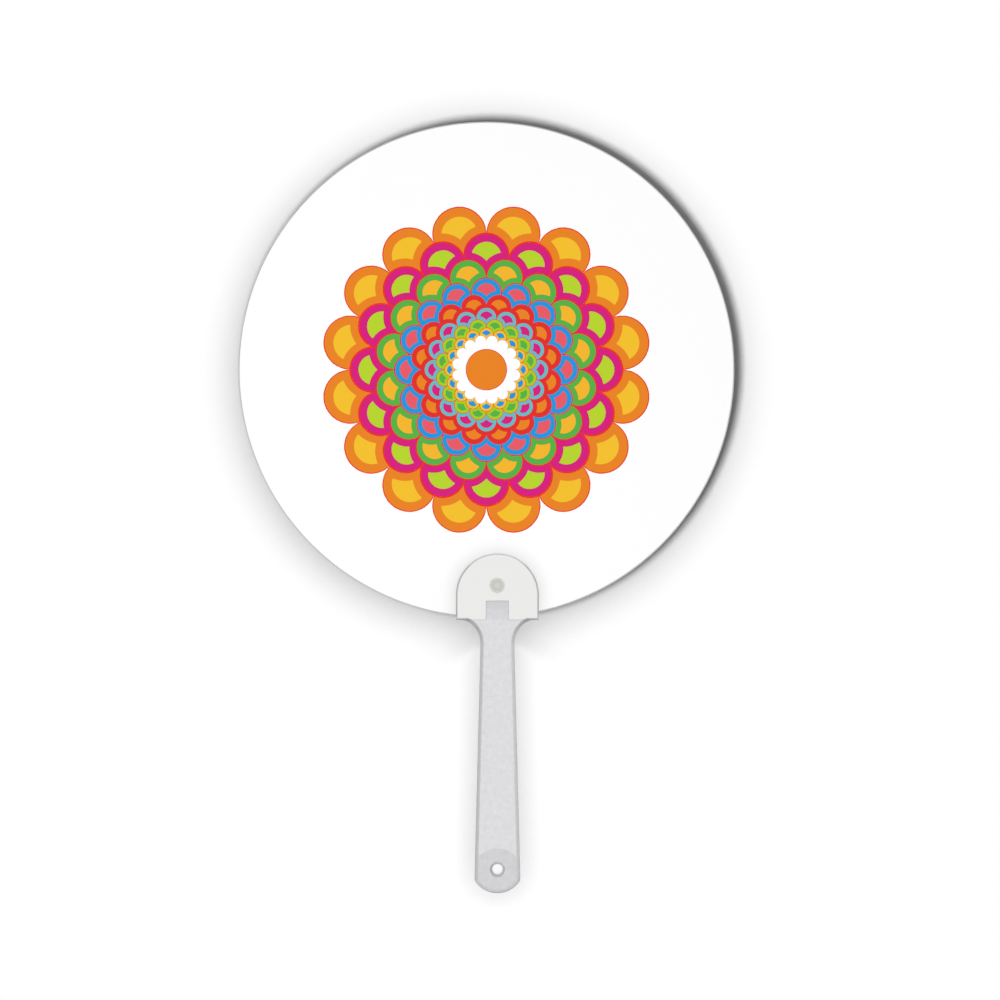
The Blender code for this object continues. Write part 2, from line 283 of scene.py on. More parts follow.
PLASTIC_IOR = 1.49
SCUFF_LENGTH = 30 * MM
SCUFF_WIDTH = 0.5 * MM
SCUFF_TURNS = (24, -57)  # degrees off the vertical, one for each set of scuffs
SCUFF_FROM, SCUFF_TO = 0.70, 0.78  # of the noise, between which a scuff sets in
SCUFF_ROUGHNESS = 0.2


def place(tree, kind, values=None, **settings):
    """Add a node. A value that is a socket is linked, and any other is set."""
    node = tree.nodes.new(kind)
    for name, value in settings.items():
        setattr(node, name, value)
    for key, value in (values or {}).items():
        if isinstance(value, bpy.types.NodeSocket):
            tree.links.new(value, node.inputs[key])
        else:
            node.inputs[key].default_value = value
    return node


def sums(tree, operation, *values):
    """A maths node, as its result."""
    return place(tree, "ShaderNodeMath", dict(enumerate(values)), operation=operation).outputs[0]


def vector_sums(tree, operation, *values):
    """A vector maths node, as its outputs."""
    return place(tree, "ShaderNodeVectorMath", dict(enumerate(values)), operation=operation).outputs


def ramped(tree, value, low, high, at_low, at_high, **settings):
    """A number from at_low to at_high, as a socket runs from low to high, and level beyond them."""
    return place(tree, "ShaderNodeMapRange", {
        "Value": value, "From Min": low, "From Max": high, "To Min": at_low, "To Max": at_high,
    }, **settings).outputs[0]


def noise(tree, where, scale, **settings):
    """A noise texture, as its value."""
    return place(tree, "ShaderNodeTexNoise", {
        "Vector": where, "Scale": scale, **settings,
    }).outputs["Fac"]


def scaled(tree, colour, share):
    """A colour times a number."""
    values = {0: colour, "Scale": share}
    return place(tree, "ShaderNodeVectorMath", values, operation="SCALE").outputs[0]


def toned(colour):
    """A plain colour that follows the tone written on the piece, with its painted light and shade.
    """
    def build(tree):
        written = place(tree, "ShaderNodeAttribute", attribute_name="tone").outputs["Fac"]
        return scaled(tree, colour, written)
    return build


def shader_group(name, inputs, outputs):
    """A node group with named inputs and outputs, and its two end nodes."""
    group = bpy.data.node_groups.new(name, "ShaderNodeTree")
    for label, kind in inputs:
        group.interface.new_socket(label, in_out="INPUT", socket_type=kind)
    for label, kind in outputs:
        group.interface.new_socket(label, in_out="OUTPUT", socket_type=kind)
    given = group.nodes.new("NodeGroupInput").outputs
    out = group.nodes.new("NodeGroupOutput").inputs
    return group, given, out


def moulding_grain():
    """The fine tooth that a mould or a roller leaves: height, and a cloudy tint about zero."""
    group, given, out = shader_group(
        "moulding_grain",
        [
            ("Place", "NodeSocketVector"),
            ("Grains per metre", "NodeSocketFloat"),
            ("Clouds per metre", "NodeSocketFloat"),
            ("Cloud share", "NodeSocketFloat"),
        ],
        [("Height", "NodeSocketFloat"), ("Tint", "NodeSocketFloat")],
    )
    grains = noise(group, given["Place"], given["Grains per metre"], Detail=2.0, Roughness=0.6)
    clouds = noise(group, given["Place"], given["Clouds per metre"], Detail=3.0, Roughness=0.55)
    both = place(group, "ShaderNodeMix", {0: given["Cloud share"], 2: grains, 3: clouds}).outputs[0]
    group.links.new(both, out["Height"])
    group.links.new(sums(group, "MULTIPLY_ADD", both, 2.0, -1.0), out["Tint"])
    return group


def handling():
    """Traces of use: slow unevenness of the gloss, and sparse hairline scuffs."""
    group, given, out = shader_group(
        "handling",
        [
            ("Place", "NodeSocketVector"),
            ("Smears per metre", "NodeSocketFloat"),
            ("Scuff length", "NodeSocketFloat"),
            ("Scuff width", "NodeSocketFloat"),
        ],
        [("Smear", "NodeSocketFloat"), ("Scuffs", "NodeSocketFloat")],
    )
    smears = noise(group, given["Place"], given["Smears per metre"], Detail=2.0, Distortion=0.6)
    group.links.new(sums(group, "MULTIPLY_ADD", smears, 2.0, -1.0), out["Smear"])

    lines = []
    for turn in SCUFF_TURNS:
        turned_place = place(group, "ShaderNodeMapping", {
            "Vector": given["Place"], "Rotation": (0.0, math.radians(turn), 0.0),
        }).outputs[0]
        along = sums(group, "DIVIDE", 1.0, given["Scuff length"])
        across = sums(group, "DIVIDE", 1.0, given["Scuff width"])
        stretch = place(group, "ShaderNodeCombineXYZ", {0: across, 1: across, 2: along}).outputs[0]
        stretched = vector_sums(group, "MULTIPLY", turned_place, stretch)[0]
        streaks = noise(group, stretched, 1.0, Detail=1.0)
        lines.append(ramped(group, streaks, SCUFF_FROM, SCUFF_TO, 0.0, 1.0))
    group.links.new(sums(group, "MAXIMUM", *lines), out["Scuffs"])
    return group


GRAIN = moulding_grain()
HANDLING = handling()


def plastic(name, colour, roughness, relief, grains, clouds, cloud_share, tint, gloss,
            smears, smear_gloss, scuff_tint, transmission=0.0, specular=0.5):
    """A plastic: its grain, its smears and scuffs, and the bump that they make.

    Grains, clouds and smears are counted per metre. Tint, gloss, smear_gloss and scuff_tint say how
    much of the colour or of the roughness they take, and relief is the height of the bump.
    """
    material = bpy.data.materials.new(name)
    material.use_nodes = True
    tree = material.node_tree
    shader = tree.nodes["Principled BSDF"]
    shader.inputs["IOR"].default_value = PLASTIC_IOR
    shader.inputs["Specular IOR Level"].default_value = specular
    shader.inputs["Transmission Weight"].default_value = transmission
    where = place(tree, "ShaderNodeTexCoord").outputs["Object"]
    grain = place(tree, "ShaderNodeGroup", node_tree=GRAIN)
    wear = place(tree, "ShaderNodeGroup", node_tree=HANDLING)
    for node, values in (
        (grain, {
            "Grains per metre": grains, "Clouds per metre": clouds, "Cloud share": cloud_share,
        }),
        (wear, {
            "Smears per metre": smears, "Scuff length": SCUFF_LENGTH, "Scuff width": SCUFF_WIDTH,
        }),
    ):
        tree.links.new(where, node.inputs["Place"])
        for key, value in values.items():
            node.inputs[key].default_value = value
    grain_tint, scuffs = grain.outputs["Tint"], wear.outputs["Scuffs"]

    shade = sums(tree, "MULTIPLY_ADD", grain_tint, tint, 1.0)
    shade = sums(tree, "SUBTRACT", shade, sums(tree, "MULTIPLY", scuffs, scuff_tint))
    tree.links.new(scaled(tree, colour(tree), shade), shader.inputs["Base Color"])

    rough = sums(tree, "MULTIPLY_ADD", grain_tint, gloss, roughness)
    rough = sums(tree, "MULTIPLY_ADD", wear.outputs["Smear"], smear_gloss, rough)
    rough = sums(tree, "MULTIPLY_ADD", scuffs, SCUFF_ROUGHNESS, rough)
    tree.links.new(rough, shader.inputs["Roughness"])

    height = sums(tree, "SUBTRACT", grain.outputs["Height"], scuffs)
    bump = place(tree, "ShaderNodeBump", {"Height": height, "Strength": 1.0, "Distance": relief})
    tree.links.new(bump.outputs[0], shader.inputs["Normal"])
    return material


# The handle

def handle_outline():
    """Round tip, flared sides, shoulders and the dome of the jaw."""
    tip_radius = (STEM_END_HALF**2 + TIP_CROWN**2) / (2 * TIP_CROWN)
    tip_centre_z = TIP_Z + tip_radius
    corner_angle = math.atan2(TIP_Z + TIP_CROWN - tip_centre_z, STEM_END_HALF)
    right = arc(0, tip_centre_z, tip_radius, -math.pi / 2, corner_angle, TIP_FACETS)

    corner = Vector(right[-1])
    neck_z = JAW_FOOT_Z - SHOULDER_DROP
    lean = (corner.x - NECK_HALF) / (neck_z - corner.y)

    # The corner between the tip and the side is eased, so that the rim can follow it
    before = [point for point in right if (Vector(point) - corner).length > CORNER_EASE]
    ease_from = Vector(before[-1])
    ease_to = corner + CORNER_EASE * Vector((-lean, 1)).normalized()
    right = before
    for step in range(1, CORNER_FACETS + 1):
        t = step / CORNER_FACETS
        eased = ease_from * (1 - t) ** 2 + corner * 2 * t * (1 - t) + ease_to * t**2
        right.append((eased.x, eased.y))

    # Each shoulder is a quarter of an oval, which starts where it leans as the side does
    start = -math.atan(lean * SHOULDER_DROP / SHOULDER_REACH)
    start_z = neck_z + SHOULDER_DROP * math.sin(start)
    centre_x = corner.x - lean * (start_z - corner.y) + SHOULDER_REACH * math.cos(start)
    for step in range(FILLET_FACETS + 1):
        angle = start + (math.pi / 2 - start) * step / FILLET_FACETS
        across = centre_x - SHOULDER_REACH * math.cos(angle)
        right.append((across, neck_z + SHOULDER_DROP * math.sin(angle)))
    right.append((JAW_HALF, JAW_FOOT_Z))
    right += arc(0, DOME_Z, JAW_HALF, 0, math.pi / 2, DOME_FACETS // 2)
    return with_mirror(right)


def tab_outline():
    """The step of the tab lies inside the rim of the tip, and ends in an arch."""
    inner = inset(handle_outline(), EDGE_ROUND)
    right = [(x, z) for x, z in inner if x > -SAME_PLACE and z < TAB_STEP_Z]
    last, after = Vector(right[-1]), Vector(inner[len(right)])
    along = (after - last).normalized()
    away = last - Vector((0, TAB_STEP_Z))
    forwards = away.dot(along)
    reach = math.sqrt(forwards**2 - away.length_squared + TAB_STEP_RADIUS**2) - forwards
    meeting = away + along * reach
    arch_from = math.atan2(meeting.y, meeting.x)
    right += arc(0, TAB_STEP_Z, TAB_STEP_RADIUS, arch_from, math.pi / 2, FILLET_FACETS)
    return with_mirror(right)


EDGE_ANGLES = (32, 62)
FLAT = 0.01  # how far a face may lean, as 1 less the cosine, and count as flat
# Painted shade: the rims and bores are darkened where light falls off on their steep faces, the
# shoulders' rims more.
RIM_LEANS, RIM_SHADE_TONES = (0.15, 0.5), (0.86, 0.84)
SHOULDER_SHADE_SHARE = 0.84  # of the rim's tone, from the middle of the shoulders up
# Painted light: the tip's rim is lightened where it faces down, where little light reaches it.
TIP_RISES, TIP_LIGHT_SHARES = (-0.5, -0.1), (1.18, 1.0)  # of the tone, as the tip's rim faces down less
# Painted shade: the hang hole's chamfer and bore are darker the less they face down.
HOLE_RISES, HOLE_SHADE_TONES = (-0.7, 0.0), (0.95, 0.74)  # in the hang hole, as its rim faces down less
TAB_TONE = 0.885
# Painted shade: the key darkens towards its top, under the step of the plate's notch.
KEY_SHADE_TONES = (0.96, 0.84)  # at the foot and at the top of the key


def make_handle(material):
    edge = rim(EDGE_ROUND, *EDGE_ANGLES, RIM_FACETS)
    front = [(distance, STEM_FRONT_Y + depth) for distance, depth in edge]
    back = [(distance, STEM_BACK_Y - depth) for distance, depth in reversed(edge)]
    handle = loft("frosted_handle", handle_outline(), front + back)

    far = JAW_HALF + OVERRUN
    key_half, key_top, ledge = NOTCH_HALF - SNUG, NOTCH_TOP_Z - SNUG, JAW_FOOT_Z - SNUG
    room = with_mirror([
        (0, key_top), (key_half, key_top), (key_half, ledge),
        (far, ledge), (far, DOME_TOP_Z + OVERRUN), (0, DOME_TOP_Z + OVERRUN),
    ])
    cut(handle, loft("room", room[::-1], [(0, STEM_FRONT_Y - OVERRUN), (0, JAW_FRONT_Y)]))
    cut(handle, turned("bore", [
        (0, JAW_FRONT_Y - OVERRUN), (PIN_BORE_RADIUS, JAW_FRONT_Y - OVERRUN),
        (PIN_BORE_RADIUS, STEM_BACK_Y + OVERRUN), (0, STEM_BACK_Y + OVERRUN),
    ], PIN_Z))
    cut(handle, loft("tab_step", tab_outline(), [(0, STEM_FRONT_Y - OVERRUN), (0, TAB_FRONT_Y)]))
    flare = HANG_HOLE_RADIUS + HANG_CHAMFER + OVERRUN
    cut(handle, turned("hang_hole", [
        (0, TAB_FRONT_Y - OVERRUN), (flare, TAB_FRONT_Y - OVERRUN),
        (HANG_HOLE_RADIUS, TAB_FRONT_Y + HANG_CHAMFER),
        (HANG_HOLE_RADIUS, STEM_BACK_Y - HANG_CHAMFER),
        (flare, STEM_BACK_Y + OVERRUN), (0, STEM_BACK_Y + OVERRUN),
    ], HANG_HOLE_Z))
    freeze(handle)
    split_across(handle, (0, 0, JAW_FOOT_Z), (0, 0, 1))
    smooth(handle)
    tone(handle, handle_tone_and_painted_shade)
    hand_over(handle, material, "fan", "frosted_plastic", "handle")
    return handle


def handle_tone_and_painted_shade(point, centre, normal):
    """Pale frosted flats and a darker tab, painted shade on rims, bores and key, painted light on
    the tip's rim.
    """
    steep = 1 - abs(normal.y)
    from_hole = math.hypot(centre.x, centre.z - HANG_HOLE_Z)
    if from_hole < HANG_RIM_RADIUS and steep > FLAT:
        return between(normal.z, *HOLE_RISES, *HOLE_SHADE_TONES)
    if steep > FLAT:
        rim_shade = between(steep, *RIM_LEANS, *RIM_SHADE_TONES)
        neck_z, shoulder_z = JAW_FOOT_Z - SHOULDER_DROP, JAW_FOOT_Z - SHOULDER_DROP / 2
        rim_shade *= between(point.z, neck_z, shoulder_z, 1.0, SHOULDER_SHADE_SHARE)
        if point.z < TIP_Z + TIP_CROWN:
            rim_shade *= between(normal.z, *TIP_RISES, *TIP_LIGHT_SHARES)
        return rim_shade
    if abs(centre.y - TAB_FRONT_Y) < SAME_PLACE and centre.z < TAB_STEP_Z + TAB_STEP_RADIUS:
        return TAB_TONE
    if centre.z > JAW_FOOT_Z and centre.y < JAW_FRONT_Y - SAME_PLACE:
        return between(point.z, JAW_FOOT_Z, NOTCH_TOP_Z, *KEY_SHADE_TONES)
    return 1.0


# The blade and its print

CUT_EDGE = 0.45 * MM  # the width that the cutting die rolls over
CUT_EDGE_DROP = 0.12 * MM  # how far it does, on either face
CUT_EDGE_STEPS = (0, 0.5, 1)
# Painted shade: the sheet's cut edge is darkened into a thin dark outline.
CUT_EDGE_SHADE = 0.55
LEVEL = 1 - 1e-4  # the cosine from which the sheet's faces count as its flats


def cut_edge_painted_shade(point, centre, normal):
    return CUT_EDGE_SHADE if abs(normal.y) < LEVEL else 1.0


def make_blade(material):
    circle = arc(BLADE_X, BLADE_Z, BLADE_RADIUS, 0, math.tau, BLADE_FACETS)[:-1]
    edge = [(CUT_EDGE * (1 - step), CUT_EDGE_DROP * step**2) for step in CUT_EDGE_STEPS]
    front = [(distance, BLADE_FRONT_Y + depth) for distance, depth in edge]
    back = [(distance, BLADE_BACK_Y - depth) for distance, depth in reversed(edge)]
    blade = loft("printed_blade", circle, front + back)
    notch = [(0, LEDGE_Z - OVERRUN), (NOTCH_HALF, LEDGE_Z - OVERRUN)]
    corner_x, corner_z = NOTCH_HALF - NOTCH_CORNER, NOTCH_TOP_Z - NOTCH_CORNER
    notch += arc(corner_x, corner_z, NOTCH_CORNER, 0, math.pi / 2, NOTCH_CORNER_FACETS)
    notch.append((0, NOTCH_TOP_Z))
    front, back = BLADE_FRONT_Y - OVERRUN, BLADE_BACK_Y + OVERRUN
    cut(blade, loft("key_notch", with_mirror(notch), [(0, front), (0, back)]))
    cut(blade, turned("pin_hole", [
        (0, front), (PIN_BORE_RADIUS, front), (PIN_BORE_RADIUS, back), (0, back),
    ], PIN_Z))
    freeze(blade)
    smooth(blade)
    tone(blade, cut_edge_painted_shade)
    hand_over(blade, material, "fan", "printed_sheet", "blade")


SCALES_ROUND = 16  # in a full turn
RINGS = 8
FIRST_RING = 12.5 * MM
DOT_RADIUS = 7.5 * MM
DOT_RING = 3  # the ring whose second colour the dot takes
INK_THICKNESS = 0.02 * MM
LINE_SHARE = 0.035  # the width of its line, of a scale's half width
HEART_SHARE = 0.32  # how far inside its edge its second colour starts, of the same
SECOND_COLOUR = 4  # how many inks on from the first it is
SCALE_TOP_FACETS, SCALE_SIDE_FACETS = 14, 12
INKS = (
    (0.86, 0.50, 0.02),  # yellow
    (0.36, 0.57, 0.01),  # lime
    (0.11, 0.47, 0.54),  # teal
    (0.70, 0.02, 0.015),  # red
    (0.01, 0.28, 0.66),  # blue
    (0.08, 0.40, 0.05),  # green
    (0.63, 0.006, 0.19),  # magenta
    (0.77, 0.21, 0.01),  # orange
    (0.76, 0.09, 0.12),  # pink
    (0.86, 0.44, 0.02),  # amber
    (0.44, 0.62, 0.02),  # pale lime
)
LINE_INK = (0.76, 0.02, 0.015)


def scale_outline(share):
    """One scale of the print, two wide: a round top over two hollow sides, drawn in by a share."""
    reach, hollow = 1 - share, 1 + share
    tilt = math.acos((1 - 2 * share) / (reach * math.sqrt(2))) - math.pi / 4
    right = arc(0, 0, reach, math.pi / 2, tilt, SCALE_TOP_FACETS)[::-1]
    tip = math.sqrt(hollow**2 - 1)
    side_from = math.atan2(tip, -1)
    side_to = math.atan2(reach * math.sin(tilt) + 1, reach * math.cos(tilt) - 1)
    lower = arc(1, -1, hollow, side_from, side_to, SCALE_SIDE_FACETS)
    return with_mirror(lower[:-1] + right)


def make_stamps():
    """One scale on a ring of radius one, and the dot. Each face says its band and its motif.

    Band 0 is the line with the walls, 1 the scale's first colour and 2 its second, or the dot's.
    """
    step = math.pi / SCALES_ROUND
    mesh = bmesh.new()
    band_of = mesh.faces.layers.float.new("band")
    in_dot = mesh.faces.layers.float.new("dot")
    front = BLADE_FRONT_Y - INK_THICKNESS

    def bent_scale(share):
        for across, up in scale_outline(share):
            reach = math.exp(up * step)
            yield reach * math.sin(across * step), reach * math.cos(across * step) - 1

    def circle(share):
        return arc(BLADE_X, BLADE_Z, DOT_RADIUS * (1 - share), 0, math.tau, HOLE_FACETS)[:-1]

    def stamp(outline, shares, dot):
        levels = [(shares[0], BLADE_FRONT_Y)] + [(share, front) for share in shares]
        rings = [[mesh.verts.new((x, y, z)) for x, z in outline(share)] for share, y in levels]
        faces = [(mesh.faces.new(reversed(rings[0])), 0), (mesh.faces.new(rings[-1]), 2)]
        for band, (outer, inner) in enumerate(zip(rings, rings[1:])):
            for a, b, c, d in zip(outer, outer[1:] + outer[:1], inner[1:] + inner[:1], inner):
                faces.append((mesh.faces.new((a, b, c, d)), max(band - 1, 0)))
        for face, band in faces:
            face[band_of], face[in_dot] = band, dot

    stamp(bent_scale, (0, LINE_SHARE, HEART_SHARE), 0)
    stamp(circle, (0, LINE_SHARE), 1)
    bmesh.ops.recalc_face_normals(mesh, faces=mesh.faces)
    return new_piece("scale_print", mesh)


def scale_field():
    """Rings of scales round a middle, each ring larger than the last, with the dot as it comes."""
    tree = bpy.data.node_groups.new("scale_field", "GeometryNodeTree")
    sockets = tree.interface
    sockets.new_socket("Geometry", in_out="OUTPUT", socket_type="NodeSocketGeometry")
    for label, kind in (
        ("Geometry", "Geometry"), ("Scales round", "Int"), ("Rings", "Int"),
        ("First ring", "Float"), ("Middle", "Vector"), ("Dot ring", "Int"),
        ("Colours", "Int"), ("Second colour", "Int"), ("Ink", "Material"),
    ):
        sockets.new_socket(label, in_out="INPUT", socket_type="NodeSocket" + kind)
    given = tree.nodes.new("NodeGroupInput").outputs

    index = place(tree, "GeometryNodeInputIndex").outputs[0]
    ring = sums(tree, "FLOOR", sums(tree, "DIVIDE", index, given["Scales round"]))
    slot = sums(tree, "MODULO", index, given["Scales round"])
    half_step = sums(tree, "DIVIDE", math.pi, given["Scales round"])
    stagger = sums(tree, "MODULO", ring, 2.0)
    turn = sums(tree, "MULTIPLY", half_step, sums(tree, "MULTIPLY_ADD", slot, 2.0, stagger))
    reach = sums(tree, "MULTIPLY", given["First ring"],
                 sums(tree, "EXPONENT", sums(tree, "MULTIPLY", ring, half_step)))
    away = place(tree, "ShaderNodeCombineXYZ", {
        0: sums(tree, "MULTIPLY", reach, sums(tree, "SINE", turn)),
        2: sums(tree, "MULTIPLY", reach, sums(tree, "COSINE", turn)),
    }).outputs[0]
    spots = place(tree, "GeometryNodePoints", {
        "Count": sums(tree, "MULTIPLY", given["Scales round"], given["Rings"]),
        "Position": vector_sums(tree, "ADD", away, given["Middle"])[0],
    }).outputs[0]

    def write(geometry, name, value, domain):
        return place(tree, "GeometryNodeStoreNamedAttribute", {
            "Geometry": geometry, "Name": name, "Value": value,
        }, data_type="FLOAT", domain=domain).outputs[0]

    def read(name):
        values = {"Name": name}
        return place(tree, "GeometryNodeInputNamedAttribute", values, data_type="FLOAT").outputs[0]

    stamps = place(tree, "GeometryNodeSeparateGeometry", {
        "Geometry": given["Geometry"], "Selection": sums(tree, "GREATER_THAN", read("dot"), 0.5),
    }, domain="FACE").outputs
    dot = write(stamps["Selection"], "ring", given["Dot ring"], "POINT")

    spot = place(tree, "GeometryNodeInputPosition").outputs[0]
    from_middle = vector_sums(tree, "SUBTRACT", spot, given["Middle"])[0]
    split = place(tree, "ShaderNodeSeparateXYZ", {0: from_middle}).outputs
    size = vector_sums(tree, "LENGTH", from_middle)["Value"]
    field = place(tree, "GeometryNodeInstanceOnPoints", {
        "Points": write(spots, "ring", ring, "POINT"),
        "Instance": stamps["Inverted"],
        "Rotation": place(tree, "ShaderNodeCombineXYZ", {
            1: sums(tree, "ARCTAN2", split[0], split[2]),
        }).outputs[0],
        "Scale": place(tree, "ShaderNodeCombineXYZ", {0: size, 1: 1.0, 2: size}).outputs[0],
    }).outputs[0]
    field = place(tree, "GeometryNodeRealizeInstances", {0: field}).outputs[0]
    both = place(tree, "GeometryNodeJoinGeometry", {0: field})
    tree.links.new(dot, both.inputs[0])

    heart = sums(tree, "GREATER_THAN", read("band"), 1.5)
    line = sums(tree, "LESS_THAN", read("band"), 0.5)
    choice = sums(tree, "MULTIPLY_ADD", heart, given["Second colour"], read("ring"))
    choice = sums(tree, "MODULO", choice, given["Colours"])
    choice = place(tree, "ShaderNodeMix", {0: line, 2: choice, 3: given["Colours"]}).outputs[0]
    inks = sums(tree, "ADD", given["Colours"], 1.0)
    ink = sums(tree, "DIVIDE", sums(tree, "ADD", choice, 0.5), inks)
    field = place(tree, "GeometryNodeSetMaterial", {
        "Geometry": write(both.outputs[0], "ink", ink, "FACE"), "Material": given["Ink"],
    }).outputs[0]
    place(tree, "NodeGroupOutput", {0: field})
    return tree


def make_print(material):
    sheet_print = make_stamps()
    tree = scale_field()
    modifier = sheet_print.modifiers.new("scale_field", "NODES")
    modifier.node_group = tree
    values = {
        "Scales round": SCALES_ROUND, "Rings": RINGS, "First ring": FIRST_RING,
        "Middle": (BLADE_X, 0.0, BLADE_Z), "Dot ring": DOT_RING,
        "Colours": len(INKS), "Second colour": SECOND_COLOUR, "Ink": material,
    }
    for socket in tree.interface.items_tree:
        if socket.in_out == "INPUT" and socket.name in values:
            modifier[socket.identifier] = values[socket.name]
    freeze(sheet_print)
    hand_over(sheet_print, material, "fan", "printed_sheet")


SHEET_WHITE = (0.965, 0.965, 0.965)
# Painted shade: a soft dark halo on the sheet round the jaw and plate.
JAW_PAINTED_SHADE, JAW_PAINTED_SHADE_REACH = 0.17, 7 * MM


def sheet_white_and_painted_shade(tree):
    """White, with painted shade on the sheet close to the jaw."""
    where = place(tree, "ShaderNodeSeparateXYZ", {
        0: place(tree, "ShaderNodeTexCoord").outputs["Object"],
    }).outputs
    above = sums(tree, "MAXIMUM", sums(tree, "SUBTRACT", where["Z"], DOME_Z), 0.0)
    across = sums(tree, "POWER", where["X"], 2.0)
    away = sums(tree, "SQRT", sums(tree, "MULTIPLY_ADD", above, above, across))
    near = ramped(tree, sums(tree, "SUBTRACT", away, JAW_HALF), 0.0, JAW_PAINTED_SHADE_REACH, 1.0, 0.0)
    shade = sums(tree, "MULTIPLY_ADD", sums(tree, "MULTIPLY", near, near), -JAW_PAINTED_SHADE, 1.0)
    return scaled(tree, toned(SHEET_WHITE)(tree), shade)


def ink_colours(tree):
    """The inks as steps of a ramp, picked by the attribute on each face."""
    pick = place(tree, "ShaderNodeAttribute", attribute_name="ink").outputs["Fac"]
    ramp = place(tree, "ShaderNodeValToRGB", {0: pick})
    steps = ramp.color_ramp
    steps.interpolation = "CONSTANT"
    colours = INKS + (LINE_INK,)
    while len(steps.elements) < len(colours):
        steps.elements.new(1.0)
    for number, (element, colour) in enumerate(zip(steps.elements, colours)):
        element.position = number / len(colours)
        element.color = (*colour, 1.0)
    return ramp.outputs[0]


# The clip plate and its pin

FLUSH_HALF, FREE_HALF = 9 * MM, 11 * MM  # the plate's foot lies on the neck, and is free beyond it
FLUSH_ROUND_SHARE = 0.08  # of the rim, which the foot and the notch have on the neck
PLATE_EDGE_ANGLES = (12, 80)
PLATE_LEANS = (0.04, 0.25)  # the lean, as for FLAT, just inside the rim and at the edge
# Painted light and shade on the plate: a highlight line inside the rim, a lighter top and pin seat,
# a darker edge and foot.
HIGHLIGHT_LINE_TONE, EDGE_SHADE_TONE, FOOT_SHADE_TONE = 1.08, 0.72, 0.6
TOP_HIGHLIGHT_RISES = (0.68, 0.88)  # how far up the edge faces, as it turns as light as the line
SEAT_HIGHLIGHT_TONE = 1.15
PIN_TONE = 1.06
# Painted shade in the pin's dish: its hollow ring, and less its raised middle.
HOLLOW_SHADE, HOLLOW_MIDDLE, HOLLOW_WIDTH = 0.22, 1.5 * MM, 0.65 * MM
HEART_SHADE, HEART_WIDTH = 0.11, 0.8 * MM


def plate_painted_light(point, centre, normal):
    """A painted highlight runs inside the rim and on the pin's seat; the edge has painted shade,
    except at the top and on the neck.
    """
    steep = 1 - abs(normal.y)
    if steep < FLAT:
        return 1.0
    if math.hypot(centre.x, centre.z - PIN_Z) < PIN_SEAT_RADIUS + SINK_CHAMFER + SAME_PLACE:
        return SEAT_HIGHLIGHT_TONE
    if abs(centre.x) < NOTCH_HALF + PLATE_EDGE_ROUND and centre.z < NOTCH_TOP_Z + PLATE_EDGE_ROUND:
        return 1.0
    if centre.z < JAW_FOOT_Z + PLATE_EDGE_ROUND and abs(normal.z) > abs(normal.x):
        shaded_foot = between(steep, *PLATE_LEANS, 1.0, FOOT_SHADE_TONE)
        return between(abs(point.x), FLUSH_HALF, FREE_HALF, 1.0, shaded_foot)
    shaded_edge = EDGE_SHADE_TONE
    if normal.z > steep / 2:
        rise = normal.z / math.hypot(normal.x, normal.z)
        shaded_edge = between(rise, *TOP_HIGHLIGHT_RISES, EDGE_SHADE_TONE, HIGHLIGHT_LINE_TONE)
    return between(steep, *PLATE_LEANS, HIGHLIGHT_LINE_TONE, shaded_edge)


def pin_painted_shade(point, centre, normal):
    """Painted shade in the dish's hollow ring, and a little on its raised middle."""
    radius = math.hypot(point.x, point.z - PIN_Z)
    hollow = HOLLOW_SHADE * math.exp(-((radius - HOLLOW_MIDDLE) / HOLLOW_WIDTH) ** 2)
    return PIN_TONE - hollow - HEART_SHADE * math.exp(-((radius / HEART_WIDTH) ** 2))


def make_clip_plate(material):
    outline = [
        (0, NOTCH_TOP_Z), (NOTCH_HALF, NOTCH_TOP_Z), (NOTCH_HALF, JAW_FOOT_Z),
        (FLUSH_HALF, JAW_FOOT_Z), (FREE_HALF, JAW_FOOT_Z), (JAW_HALF, JAW_FOOT_Z),
    ]
    outline = with_mirror(outline + arc(0, DOME_Z, JAW_HALF, 0, math.pi / 2, DOME_FACETS // 2))
    shares = [
        FLUSH_ROUND_SHARE if abs(x) <= FLUSH_HALF and z <= NOTCH_TOP_Z else 1 for x, z in outline
    ]
    edge = rim(PLATE_EDGE_ROUND, *PLATE_EDGE_ANGLES, RIM_FACETS)
    plate = loft("white_clip_plate", outline, [
        (distance, PLATE_FRONT_Y + depth) for distance, depth in edge
    ] + [(0, PLATE_BACK_Y)], shares)
    wide = PIN_SEAT_RADIUS + SINK_CHAMFER + OVERRUN
    seat_y = PIN_HEAD_BACK_Y + FIT
    cut(plate, turned("pin_seat", [
        (0, PLATE_FRONT_Y - OVERRUN), (wide, PLATE_FRONT_Y - OVERRUN),
        (PIN_SEAT_RADIUS, PLATE_FRONT_Y + SINK_CHAMFER), (PIN_SEAT_RADIUS, seat_y),
        (PIN_BORE_RADIUS, seat_y), (PIN_BORE_RADIUS, PLATE_BACK_Y + OVERRUN),
        (0, PLATE_BACK_Y + OVERRUN),
    ], PIN_Z))
    freeze(plate)
    smooth(plate)
    tone(plate, plate_painted_light)
    hand_over(plate, material, "clip", "white_plastic", "clip_plate")
    return plate


